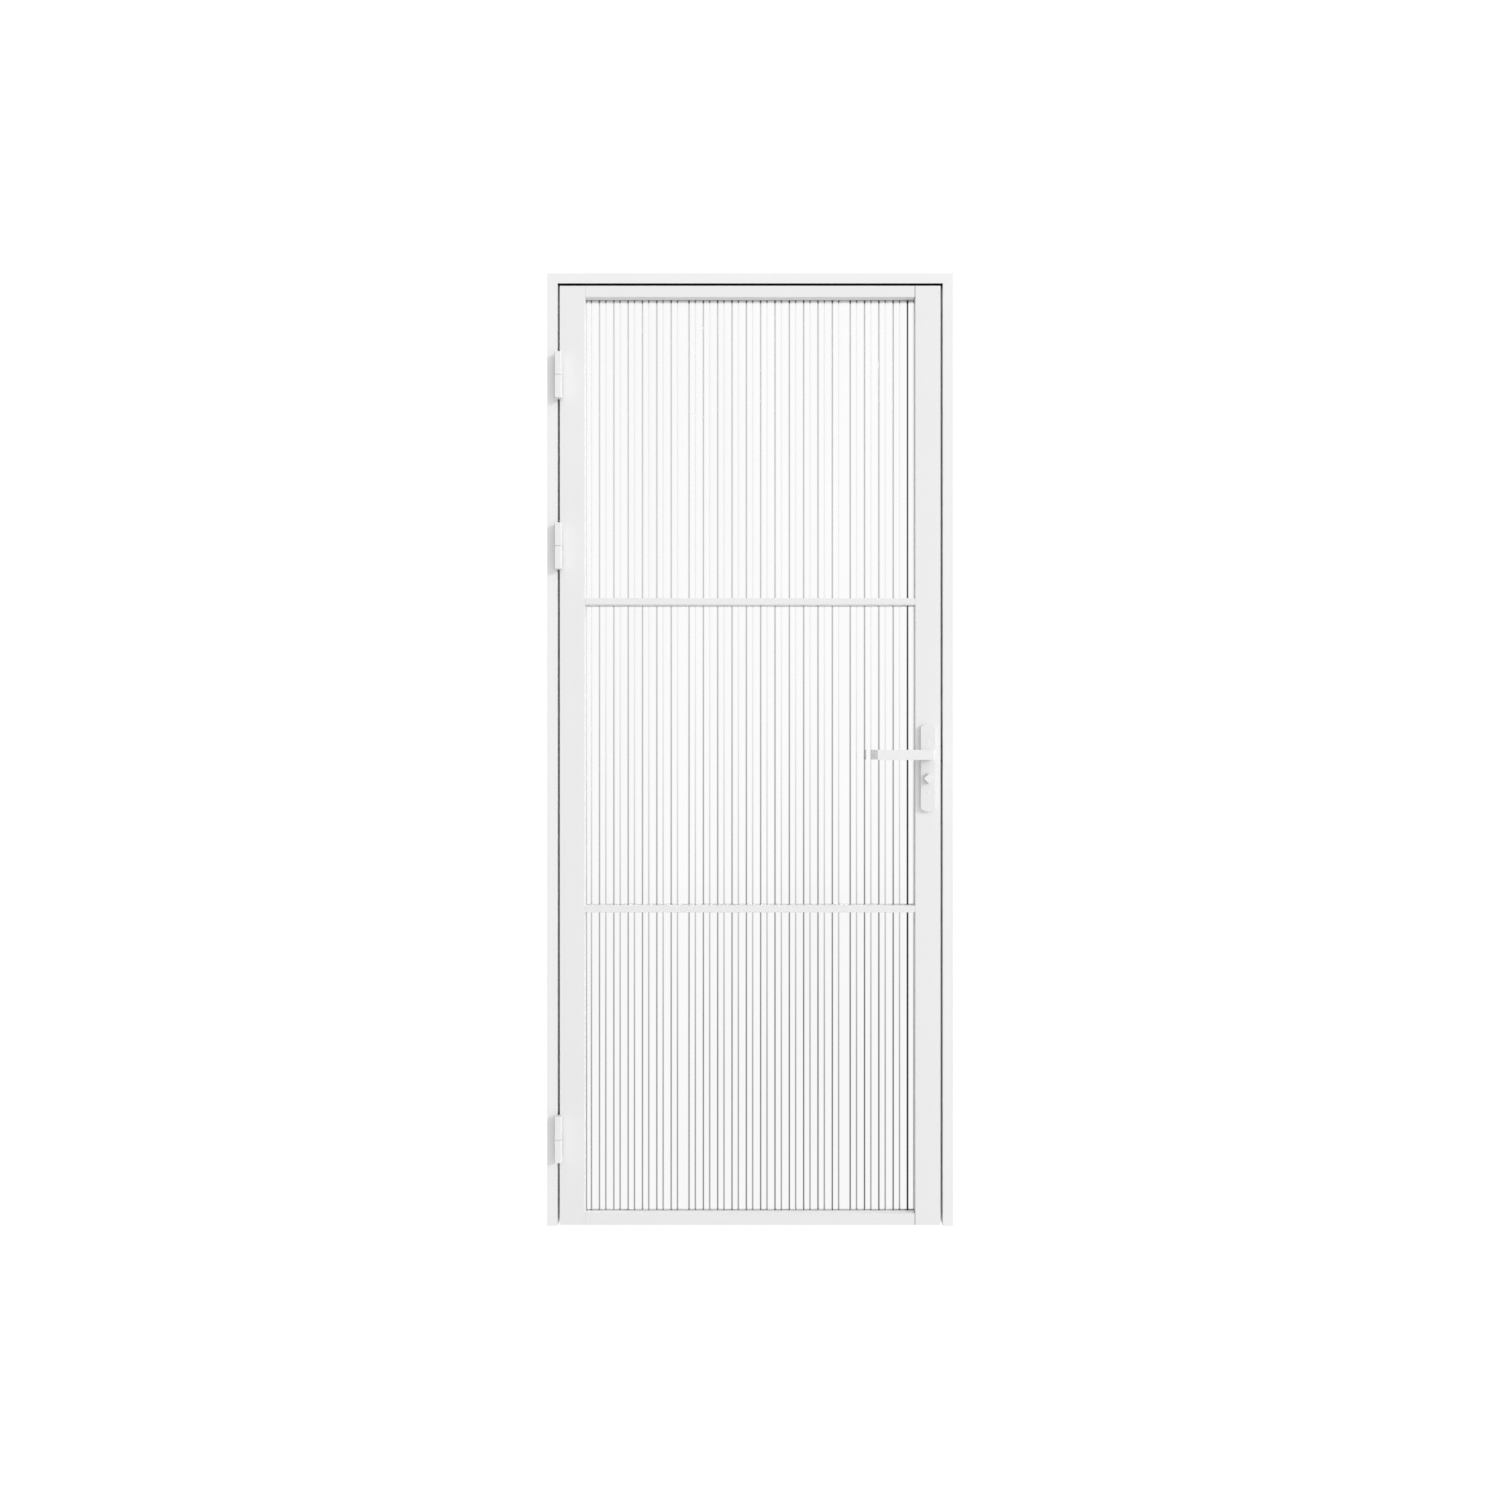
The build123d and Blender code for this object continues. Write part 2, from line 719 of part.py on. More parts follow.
def all_parts():
    """Every node's name with its shape."""
    parts = {
        "frame_hinge_jamb": hinge_jamb(),
        "frame_lock_jamb": lock_jamb(),
        "frame_head": head_run(lining_profile()),
        "stop_hinge_jamb": jamb_run(stop_profile()),
        "stop_lock_jamb": mirrored_in_width(jamb_run(stop_profile())),
        "stop_head": head_run(stop_profile()),
        "seal_hinge_jamb": hinge_jamb_seal(),
        "seal_lock_jamb": lock_jamb_seal(),
        "seal_head": head_seal(),
        "strike_keep": strike_keep(),
        "stile_hinge_side": hinge_stile(),
        "stile_lock_side": lock_stile(),
        "stile_caps": stile_caps(),
        "rail_bottom": bottom_rail(),
        "rail_top": flipped_in_height(bottom_rail()),
        "glass_sheet": reeded_glass(),
        "gasket_front": gasket((front_lip, glass_front)),
        "gasket_rear": gasket((glass_rear, bead_front)),
        "bead_hinge_side": side_bead(),
        "bead_lock_side": mirrored_in_width(side_bead()),
        "bead_bottom": bottom_bead(),
        "bead_top": flipped_in_height(bottom_bead()),
        "lock_case": lock_case(),
        "lock_faceplate": lock_faceplate(),
        "latch_bolt": latch_bolt(),
        "backplate_front": backplate() - screw_bores(),
        "backplate_rear": mirrored_in_leaf(backplate()) - screw_bores(),
        "lever_front": lever(),
        "lever_rear": mirrored_in_leaf(lever()),
        "lever_spindle": lever_spindle(),
        "thumbturn_knob": thumbturn_knob(),
        "thumbturn_release": thumbturn_release(),
    }
    for index, place in ((1, "lower"), (2, "upper")):
        parts[f"bar_{place}_front"] = glazing_bar(index, (0, glass_front))
        parts[f"bar_{place}_rear"] = glazing_bar(index, (glass_rear, leaf_thickness))
    for place, z in hinge_heights.items():
        parts[f"hinge_{place}_frame_half"] = frame_hinge_half(z)
        parts[f"hinge_{place}_leaf_half"] = leaf_hinge_half(z)
    return parts


os.makedirs("parts", exist_ok=True)
for node, shape in all_parts().items():
    export_step(shape, f"parts/{node}.step")
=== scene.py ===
import math

import bmesh
import bpy
from mathutils import Matrix, Vector


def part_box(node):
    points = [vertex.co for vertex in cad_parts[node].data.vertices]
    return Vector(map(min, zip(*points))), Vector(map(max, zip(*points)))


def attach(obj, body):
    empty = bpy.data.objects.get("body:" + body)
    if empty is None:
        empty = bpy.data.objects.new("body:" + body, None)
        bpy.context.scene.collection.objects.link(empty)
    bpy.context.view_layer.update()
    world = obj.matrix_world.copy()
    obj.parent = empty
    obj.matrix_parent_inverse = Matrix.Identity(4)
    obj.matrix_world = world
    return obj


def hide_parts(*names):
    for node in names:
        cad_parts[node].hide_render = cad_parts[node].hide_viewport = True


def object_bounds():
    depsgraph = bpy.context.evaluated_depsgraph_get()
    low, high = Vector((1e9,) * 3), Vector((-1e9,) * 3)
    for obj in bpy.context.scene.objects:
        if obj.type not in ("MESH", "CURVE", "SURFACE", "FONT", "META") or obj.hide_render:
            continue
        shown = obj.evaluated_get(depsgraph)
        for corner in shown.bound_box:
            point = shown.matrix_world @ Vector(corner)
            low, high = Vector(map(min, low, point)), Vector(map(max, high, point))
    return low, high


# Looks of a single interior door in its frame: white powder coat, one sheet of reeded
# glass, rubber seals, satin steel lock. Metres, in the frame of the CAD: X from the
# hinge jamb to the lock jamb, Y from front to rear, Z up from the floor. Sizes of
# pieces are named in millimetres.

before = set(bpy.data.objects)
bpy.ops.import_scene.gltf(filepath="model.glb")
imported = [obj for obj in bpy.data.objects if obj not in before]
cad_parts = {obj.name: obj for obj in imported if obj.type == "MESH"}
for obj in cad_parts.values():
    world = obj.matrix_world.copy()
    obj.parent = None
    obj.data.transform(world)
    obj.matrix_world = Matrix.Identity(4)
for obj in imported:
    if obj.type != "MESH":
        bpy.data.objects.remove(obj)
cad_low, cad_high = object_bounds()

MM = 0.001
X, Y, Z = range(3)


# Places of the CAD nodes


def low_of(node, axis):
    """Lowest place of a CAD node along one axis, in millimetres."""
    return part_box(node)[0][axis] / MM


def high_of(node, axis):
    """Highest place of a CAD node along one axis, in millimetres."""
    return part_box(node)[1][axis] / MM


def middle(node, axis):
    """Middle of a CAD node along one axis, in millimetres."""
    low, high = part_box(node)
    return (low[axis] + high[axis]) / 2 / MM


# Reeded glass, in millimetres. The air behind it lets the light reach the rear gasket.
AIR_BEHIND_GLASS = 0.05
GLASS_FRONT = low_of("glass_sheet", Y)
GLASS_REAR = high_of("glass_sheet", Y) - AIR_BEHIND_GLASS
GLASS_X = (low_of("glass_sheet", X), high_of("glass_sheet", X))
GLASS_Z = (low_of("glass_sheet", Z), high_of("glass_sheet", Z))
FIRST_GROOVE = 48.1
NARROW_REED = 13.8
BROAD_REED = 17.52
EXTRA_BROAD_REED = 25.3
EXTRA_BROAD_PAIRS = (7, 18)
DEEP_GROOVE = 2.0
SHALLOW_GROOVE = 1.2

# Steep notch at the foot of each reed: its width in millimetres and its angle in degrees
DEEP_NOTCH = 0.75
FINE_NOTCH = 0.5
NOTCH_STEEPEST = 72.0
NOTCH_STEPS = 5
STEPS_IN_HALF_REED = 8

# Shade beside the grooves, in millimetres across the glass. That of the deep grooves
# grows by a share from the sight edge on the hinge side to the last of them before the
# lock stile, and is strongest past that one.
GROOVE_SHADE_REACH = 2.6
SIGHT_LEFT = 82.0
# A line of painted shade lies this far inside the sight edge on the hinge side
SIGHT_LINE_INSET = 0.3
LAST_DEEP_GROOVE = 772.0
DEEP_SHADE_AT_LEFT = 0.82
DEEP_SHADE_GROWTH = 0.33
DEEP_SHADE_PAST_LAST = 2.5

# Shade up the height of the glass: at a first and a second height, then these heights
# in metres. The shade right under the top rail is added to that of both grooves.
UNDER_RAIL_SHADE = (0.0, 0.9, 2.007, 2.012)
DEEP_SHADE_IN_HEIGHT = (0.88, 0.45, 0.45, 1.45)
FINE_SHADE_IN_HEIGHT = (0.73, 0.10, 0.15, 1.35)
DARKEST_SHADE = 0.97
LEAST_TINT = 0.01
TINT_POWER = 2.0
GLASS_SHADOW_TONE = (0.94, 0.94, 0.94, 1)

# Shade in the paint where the rails meet the lock stile: how much light is left, and
# where it starts and is full, in millimetres before the stile
JOINT_SHADE = 0.4
JOINT_SHADE_START = 1.7
JOINT_SHADE_FULL = 1.2
LOCK_STILE_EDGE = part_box("stile_lock_side")[0].x


# Nodes of the materials


def material(name):
    """A new node material, its nodes, links and main shader."""
    made = bpy.data.materials.new(name)
    made.use_nodes = True
    nodes = made.node_tree.nodes
    return made, nodes, made.node_tree.links, nodes["Principled BSDF"]


def noise(nodes, links, scale, detail=2.0, stretch=(1, 1, 1)):
    """Noise over the piece's own coordinates."""
    place = nodes.new("ShaderNodeTexCoord")
    mapping = nodes.new("ShaderNodeMapping")
    mapping.inputs["Scale"].default_value = stretch
    pattern = nodes.new("ShaderNodeTexNoise")
    pattern.inputs["Scale"].default_value = scale
    pattern.inputs["Detail"].default_value = detail
    links.new(place.outputs["Object"], mapping.inputs["Vector"])
    links.new(mapping.outputs["Vector"], pattern.inputs["Vector"])
    return pattern.outputs["Fac"]


def place_parts(nodes, links):
    """The piece's own coordinates one by one, in metres."""
    place = nodes.new("ShaderNodeTexCoord")
    parts = nodes.new("ShaderNodeSeparateXYZ")
    links.new(place.outputs["Object"], parts.inputs["Vector"])
    return parts.outputs


def ranged(nodes, links, value, low, high, from_low=0.3, from_high=0.7):
    """The value spread between two numbers."""
    spread = nodes.new("ShaderNodeMapRange")
    spread.inputs["From Min"].default_value = from_low
    spread.inputs["From Max"].default_value = from_high
    spread.inputs["To Min"].default_value = low
    spread.inputs["To Max"].default_value = high
    links.new(value, spread.inputs["Value"])
    return spread.outputs["Result"]


def arithmetic(nodes, links, operation, first, second):
    """One sum on two values, each a socket or a number."""
    node = nodes.new("ShaderNodeMath")
    node.operation = operation
    for socket, value in zip(node.inputs, (first, second)):
        if isinstance(value, (int, float)):
            socket.default_value = value
        else:
            links.new(value, socket)
    return node.outputs[0]


def carried(nodes, name):
    """A value that the mesh carries along its columns."""
    node = nodes.new("ShaderNodeAttribute")
    node.attribute_name = name
    return node.outputs["Fac"]


def leaning(nodes, links, place, direction):
    """How far a place or direction leans this way."""
    node = nodes.new("ShaderNodeVectorMath")
    node.operation = "DOT_PRODUCT"
    node.inputs[1].default_value = direction
    links.new(place, node.inputs[0])
    return node.outputs["Value"]


def grey(nodes, links, value):
    """A neutral colour from a value."""
    colour = nodes.new("ShaderNodeCombineColor")
    for channel in ("Red", "Green", "Blue"):
        links.new(value, colour.inputs[channel])
    return colour.outputs["Color"]


def bumped(nodes, links, shader, height, distance, strength=1.0):
    """Fine relief from a height."""
    bump = nodes.new("ShaderNodeBump")
    bump.inputs["Distance"].default_value = distance
    bump.inputs["Strength"].default_value = strength
    links.new(height, bump.inputs["Height"])
    links.new(bump.outputs["Normal"], shader.inputs["Normal"])


# Materials


def powder_coat(name, tone, rough=0.42, joint_x=None):
    """Satin white powder coat with a fine orange peel, shaded before a joint if given."""
    made, nodes, links, shader = material(name)
    cloud = noise(nodes, links, scale=5.0, detail=3.0)
    colour = ranged(nodes, links, cloud, low=tone * 0.992, high=tone * 1.008)
    if joint_x is not None:
        x = place_parts(nodes, links)["X"]
        start = joint_x - JOINT_SHADE_START * MM
        full = joint_x - JOINT_SHADE_FULL * MM
        shade = ranged(nodes, links, x, 1.0, JOINT_SHADE, start, full)
        colour = arithmetic(nodes, links, "MULTIPLY", colour, shade)
    links.new(grey(nodes, links, colour), shader.inputs["Base Color"])
    grain = noise(nodes, links, scale=420.0)
    roughness = ranged(nodes, links, grain, low=rough - 0.04, high=rough + 0.04)
    links.new(roughness, shader.inputs["Roughness"])
    bumped(nodes, links, shader, grain, distance=0.00003, strength=0.6)
    return made


def rubber(name, tone, shine):
    """Matt rubber with a little bloom. The tone is its middle one."""
    made, nodes, links, shader = material(name)
    shader.inputs["Specular IOR Level"].default_value = shine
    cloud = noise(nodes, links, scale=60.0, detail=4.0)
    colour = ranged(nodes, links, cloud, low=tone * 0.96, high=tone * 1.04)
    links.new(grey(nodes, links, colour), shader.inputs["Base Color"])
    grain = noise(nodes, links, scale=1500.0)
    links.new(ranged(nodes, links, grain, low=0.55, high=0.75), shader.inputs["Roughness"])
    bumped(nodes, links, shader, grain, distance=0.00004)
    return made


def brushed_steel(name, tone):
    """Satin stainless steel, brushed along its height."""
    made, nodes, links, shader = material(name)
    shader.inputs["Metallic"].default_value = 1.0
    lines = noise(nodes, links, scale=2200.0, detail=3.0, stretch=(1, 1, 0.03))
    colour = ranged(nodes, links, lines, low=tone * 0.93, high=tone * 1.05)
    links.new(grey(nodes, links, colour), shader.inputs["Base Color"])
    links.new(ranged(nodes, links, lines, low=0.24, high=0.4), shader.inputs["Roughness"])
    bumped(nodes, links, shader, lines, distance=0.00002)
    return made


def plastic(name, tone):
    """Moulded plastic of the stile ends."""
    made, nodes, links, shader = material(name)
    cloud = noise(nodes, links, scale=90.0, detail=3.0)
    colour = ranged(nodes, links, cloud, low=tone * 0.97, high=tone * 1.03)
    links.new(grey(nodes, links, colour), shader.inputs["Base Color"])
    grain = noise(nodes, links, scale=1800.0)
    links.new(ranged(nodes, links, grain, low=0.42, high=0.56), shader.inputs["Roughness"])
    bumped(nodes, links, shader, grain, distance=0.00004)
    return made


def reeded_glass(name):
    """Clear glass with shade painted into its tint along the grooves between the reeds."""
    made, nodes, links, shader = material(name)
    shader.inputs["Transmission Weight"].default_value = 1.0
    shader.inputs["IOR"].default_value = 1.5

    # Shade in the grooves, by height
    z = place_parts(nodes, links)["Z"]
    under_rail = ranged(nodes, links, z, *UNDER_RAIL_SHADE)
    deep_height = ranged(nodes, links, z, *DEEP_SHADE_IN_HEIGHT)
    fine_height = ranged(nodes, links, z, *FINE_SHADE_IN_HEIGHT)
    fine_height.node.interpolation_type = "SMOOTHSTEP"
    deep_height = arithmetic(nodes, links, "ADD", deep_height, under_rail)
    fine_height = arithmetic(nodes, links, "ADD", fine_height, under_rail)
    deep = arithmetic(nodes, links, "MULTIPLY", carried(nodes, "deep_shade"), deep_height)
    fine = arithmetic(nodes, links, "MULTIPLY", carried(nodes, "fine_shade"), fine_height)
    darker = arithmetic(nodes, links, "MAXIMUM", deep, fine)
    shade = arithmetic(nodes, links, "MINIMUM", darker, DARKEST_SHADE)

    # Tint of the glass, less that shade
    cloud = noise(nodes, links, scale=7.0, detail=2.0, stretch=(1, 1, 0.12))
    body = ranged(nodes, links, cloud, low=0.985, high=0.997)
    left = arithmetic(nodes, links, "SUBTRACT", body, shade)
    left = arithmetic(nodes, links, "MAXIMUM", left, LEAST_TINT)
    tint = arithmetic(nodes, links, "POWER", left, TINT_POWER)
    links.new(grey(nodes, links, tint), shader.inputs["Base Color"])
    grain = noise(nodes, links, scale=90.0, detail=2.0, stretch=(1, 1, 0.05))
    links.new(ranged(nodes, links, grain, low=0.01, high=0.05), shader.inputs["Roughness"])

    # Shadow rays go straight through, so that the glass shades little
    path = nodes.new("ShaderNodeLightPath")
    clear = nodes.new("ShaderNodeBsdfTransparent")
    clear.inputs["Color"].default_value = GLASS_SHADOW_TONE
    choose = nodes.new("ShaderNodeMixShader")
    links.new(path.outputs["Is Shadow Ray"], choose.inputs[0])
    links.new(shader.outputs[0], choose.inputs[1])
    links.new(clear.outputs[0], choose.inputs[2])
    links.new(choose.outputs[0], nodes["Material Output"].inputs["Surface"])
    return made


LOOKS = {
    "frame_paint": powder_coat("frame powder coat", tone=0.86),
    "leaf_paint": powder_coat("leaf powder coat", tone=0.825),
    "rail_paint": powder_coat("rail powder coat", tone=0.825, joint_x=LOCK_STILE_EDGE),
    "furniture_paint": powder_coat("furniture powder coat", tone=0.84, rough=0.38),
    # The backplates take a darker copy of the furniture paint: painted shade on them
    "plate_paint_painted_shade": powder_coat("plate powder coat painted darker", tone=0.805, rough=0.38),
    "seal_rubber": rubber("seal rubber", tone=0.008, shine=0.2),
    # The seals beside the leaf are a near-white copy of the black seal rubber: painted light, so
    # that the side gaps look lighter than the gap over the leaf
    "jamb_seal_painted_light": rubber("seal rubber painted light beside the leaf", tone=0.92, shine=0.3),
    "glazing_rubber": rubber("glazing rubber", tone=0.83, shine=0.3),
    # The front gasket is a darker copy of the glazing rubber: painted shade along the front edges
    # of the glass
    "front_gasket_painted_shade": rubber("front gasket rubber painted darker", tone=0.46, shine=0.3),
    "reeded_glass": reeded_glass("reeded glass"),
    "lock_metal": brushed_steel("lock steel", tone=0.72),
    "cap_plastic": plastic("cap plastic", tone=0.62),
}

# Looks of the CAD nodes: the first row whose word starts a node's name counts
NODE_LOOKS = (
    ("frame_", "frame_paint"),
    ("stop_", "frame_paint"),
    ("gasket_front", "front_gasket_painted_shade"),
    ("gasket_", "glazing_rubber"),
    ("seal_head", "seal_rubber"),
    ("seal_", "jamb_seal_painted_light"),
    ("rail_", "rail_paint"),
    ("backplate_", "plate_paint_painted_shade"),
    ("hinge_", "furniture_paint"),
    ("lever_spindle", "lock_metal"),
    ("lever_", "furniture_paint"),
    ("thumbturn_", "furniture_paint"),
    ("strike_keep", "furniture_paint"),
    ("lock_", "lock_metal"),
    ("latch_bolt", "lock_metal"),
    ("stile_caps", "cap_plastic"),
    ("glass_sheet", "reeded_glass"),
    ("", "leaf_paint"),
)


def dress(thing, look):
    """One material over the whole piece."""
    thing.data.materials.clear()
    thing.data.materials.append(LOOKS[look])


for node_name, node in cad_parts.items():
    dress(node, next(look for start, look in NODE_LOOKS if node_name.startswith(start)))


# Mesh pieces


def add_piece(name, mesh, body, look):
    """Puts a mesh into the scene as a piece that rides on a body of the door."""
    thing = bpy.data.objects.new(name, mesh)
    bpy.context.scene.collection.objects.link(thing)
    dress(thing, look)
    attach(thing, body)
    return thing


def piece(name, vertices, faces, body, look):
    """A new piece of the door from points and faces, in metres."""
    mesh = bpy.data.meshes.new(name)
    mesh.from_pydata(vertices, [], faces)
    mesh.validate()
    bm = bmesh.new()
    bm.from_mesh(mesh)
    bmesh.ops.recalc_face_normals(bm, faces=bm.faces)
    bm.to_mesh(mesh)
    bm.free()
    return add_piece(name, mesh, body, look)


def prism_faces(count):
    """Sides and ends of a prism whose points come as two rings of this many."""
    faces = [(i, (i + 1) % count, (i + 1) % count + count, i + count) for i in range(count)]
    faces.append(tuple(reversed(range(count))))
    faces.append(tuple(range(count, 2 * count)))
    return faces


# Reeded glass


def reed_point(away, half, depth, notch):
    """Depth of a reed's face this far from its crest, with steep sides down to the groove."""
    radius = (half * half + depth * depth) / (2 * depth)
    edge = half - notch
    if away <= edge:
        return radius - math.sqrt(radius * radius - away * away)
    start = math.asin(edge / radius)
    end = math.radians(NOTCH_STEEPEST)
    corner = notch / (math.sin(end) - math.sin(start))
    turn = math.asin(math.sin(start) + (away - edge) / corner)
    drop = corner * (math.cos(start) - math.cos(turn))
    return radius - math.sqrt(radius * radius - edge * edge) + drop


def reed_places(half, notch):
    """Places from the crest of a reed to the groove beside it."""
    edge = half - notch
    places = [edge * i / STEPS_IN_HALF_REED for i in range(STEPS_IN_HALF_REED)]
    return places + [edge + notch * i / NOTCH_STEPS for i in range(NOTCH_STEPS + 1)]


def reed_front():
    """Points across the front of the glass, the sharp ones, and the places of the grooves."""
    points = []
    sharp = set()
    grooves = {"deep_shade": [], "fine_shade": [SIGHT_LEFT + SIGHT_LINE_INSET]}
    notches = {DEEP_GROOVE: DEEP_NOTCH, SHALLOW_GROOVE: FINE_NOTCH}
    x = FIRST_GROOVE
    pair = 0
    while x < GLASS_X[1]:
        broad = EXTRA_BROAD_REED if pair in EXTRA_BROAD_PAIRS else BROAD_REED
        for width, before, after in (
            (NARROW_REED, DEEP_GROOVE, SHALLOW_GROOVE),
            (broad, SHALLOW_GROOVE, DEEP_GROOVE),
        ):
            half = width / 2
            grooves["deep_shade" if before == DEEP_GROOVE else "fine_shade"].append(x)
            rise = [(-away, before) for away in reversed(reed_places(half, notches[before]))]
            fall = [(away, after) for away in reed_places(half, notches[after])[1:-1]]
            for index, (away, depth) in enumerate(rise + fall):
                place = x + half + away
                if GLASS_X[0] < place < GLASS_X[1]:
                    if index == 0:
                        sharp.add(len(points) + 1)
                    y = GLASS_FRONT + reed_point(abs(away), half, depth, notches[depth])
                    points.append((place, y))
            x += width
        pair += 1
    left = (GLASS_X[0], points[0][1])
    right = (GLASS_X[1], points[-1][1])
    return [left] + points + [right], sharp, grooves


def groove_shade(kind, x, places):
    """How much of the shade of a groove reaches this place across the glass."""
    near = max(0.0, 1.0 - min(abs(x - place) for place in places) / GROOVE_SHADE_REACH)
    value = near * near * (3 - 2 * near)
    if kind == "deep_shade":
        share = (x - SIGHT_LEFT) / (LAST_DEEP_GROOVE - SIGHT_LEFT)
        value *= DEEP_SHADE_AT_LEFT + DEEP_SHADE_GROWTH * share
        if x > LAST_DEEP_GROOVE:
            value *= DEEP_SHADE_PAST_LAST
    return value


def reeded_sheet():
    """The glass sheet with smoothly round reeds in front and a flat back."""
    front, sharp, grooves = reed_front()
    loop = front + [(GLASS_X[1], GLASS_REAR), (GLASS_X[0], GLASS_REAR)]
    count = len(loop)
    vertices = [(x * MM, y * MM, z * MM) for z in GLASS_Z for x, y in loop]
    sheet = piece("reeded_sheet", vertices, prism_faces(count), "leaf", "reeded_glass")
    mesh = sheet.data
    last_column = len(front) - 1
    for index, polygon in enumerate(mesh.polygons):
        polygon.use_smooth = index < last_column
    for edge in mesh.edges:
        a, b = edge.vertices
        column = min(a, b)
        if abs(a - b) == count and (column in sharp or column in (0, last_column)):
            edge.use_edge_sharp = True
    for kind, places in grooves.items():
        shades = [groove_shade(kind, x, places) for x, y in front] + [0.0, 0.0]
        mesh.attributes.new(kind, "FLOAT", "POINT").data.foreach_set("value", shades * 2)
    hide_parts("glass_sheet")


reeded_sheet()


# Glazing beads, in millimetres: each face slopes away from the glass, as the photo
# shows none of it. The slope ends in a rounded corner, whose points are given as how
# far outward of the slope's end and how far in from the rear they lie.

BEAD_FRONT = low_of("bead_top", Y)
BEAD_REAR = high_of("bead_top", Y)
BEAD_WIDTH = high_of("bead_top", Z) - low_of("bead_top", Z)
BEAD_SLOPE = 5.1
BEAD_CORNER = ((1.3, 0.0), (0.5, 0.2), (0.0, 0.7))
BEAD_FLAT = BEAD_SLOPE + BEAD_CORNER[0][0]
BEAD_PROFILE = (
    (0.0, BEAD_FRONT),
    (BEAD_WIDTH, BEAD_FRONT),
    (BEAD_WIDTH, BEAD_REAR),
    *((BEAD_SLOPE + outward, BEAD_REAR - back) for outward, back in BEAD_CORNER),
)
SIGHT_X = (high_of("bead_hinge_side", X), low_of("bead_lock_side", X))
SIGHT_Z = (high_of("bead_bottom", Z), low_of("bead_top", Z))


def sight_corner(index, outward):
    """A corner of the glass opening, counted from low on the hinge side, this far outward."""
    right = index % 4 in (1, 2)
    upper = index % 4 in (2, 3)
    x = SIGHT_X[1] + outward if right else SIGHT_X[0] - outward
    z = SIGHT_Z[1] + outward if upper else SIGHT_Z[0] - outward
    return x, z


def sloped_beads():
    """Four beads with mitred ends that hold the glass from behind."""
    for index, side in enumerate(("bottom", "lock_side", "top", "hinge_side")):
        vertices = []
        for corner in (index, index + 1):
            for outward, y in BEAD_PROFILE:
                x, z = sight_corner(corner, outward)
                vertices.append((x * MM, y * MM, z * MM))
        faces = prism_faces(len(BEAD_PROFILE))
        bead = piece(f"sloped_bead_{side}", vertices, faces, "leaf", "leaf_paint")
        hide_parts(f"bead_{side}")


sloped_beads()


# Rear glazing bars: as the CAD's, but run on to the sloped faces of the beads

BAR_BEVEL = 0.8


def coped_bar(place):
    """A rear glazing bar whose ends meet the beads at the sides."""
    node = f"bar_{place}_rear"
    low, high = low_of(node, Z), high_of(node, Z)
    rows = (
        (low_of(node, Y), 0.0, 0.0),
        (BEAD_FRONT, 0.0, 0.0),
        (BEAD_REAR - BAR_BEVEL, BEAD_SLOPE, 0.0),
        (BEAD_REAR, BEAD_FLAT, BAR_BEVEL),
    )
    vertices = []
    for way, sight_edge in zip((-1, 1), SIGHT_X):
        for y, outward, inset in rows:
            for z in (low + inset, high - inset):
                vertices.append(((sight_edge + way * outward) * MM, y * MM, z * MM))
    end = 2 * len(rows)
    last = end - 2
    faces = [(0, 1, 1 + end, end), (last, last + 1, last + 1 + end, last + end)]
    for i in range(0, last, 2):
        faces.append((i, i + end, i + end + 2, i + 2))
        faces.append((i + 1, i + 1 + end, i + end + 3, i + 3))
        faces.append((i, i + 1, i + 3, i + 2))
        faces.append((i + end, i + end + 1, i + end + 3, i + end + 2))
    bar = piece(f"coped_bar_{place}_rear", vertices, faces, "leaf", "leaf_paint")
    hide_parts(node)


coped_bar("lower")
coped_bar("upper")


# Screws of the plates, the hinges, the faceplate and the keep

# Shape of a head: its rings as shares of radius and height, and the cross in it, as
# shares of the radius, with the bed's taper and its height as a share of the head's
SCREW_RINGS = ((1.0, 0.0), (0.97, 0.45), (0.86, 0.85), (0.72, 1.0))
SCREW_TURNS = 32
CROSS_ARM = 0.52
CROSS_SLOT = 0.13
CROSS_BED_TAPER = 0.8
CROSS_BED_HEIGHT = 0.3

# Radius and height of the heads, and their places, in millimetres
PLATE_SCREW = (3.9, 0.5)
PLATE_SCREW_HEIGHTS = (1050.5, 939.5)
HINGE_SCREW = (3.6, 0.3)
HINGE_LEAF_FACE = 27.0
HINGE_FRAME_FACE = 22.0
HINGE_SCREW_PLACES = ((9.0, 9.0), (21.0, 23.0), (9.0, 37.0))
LOCK_SCREW = (3.2, 0.3)
FACEPLATE_SCREW_INSET = 8.0
KEEP_SCREW_INSET = 6.0


def cross_outline(arm, slot):
    """Corners of a screw's cross recess, anticlockwise."""
    return [
        (arm, -slot), (arm, slot), (slot, slot), (slot, arm), (-slot, arm), (-slot, slot),
        (-arm, slot), (-arm, -slot), (-slot, -slot), (-slot, -arm), (slot, -arm), (slot, -slot),
    ]


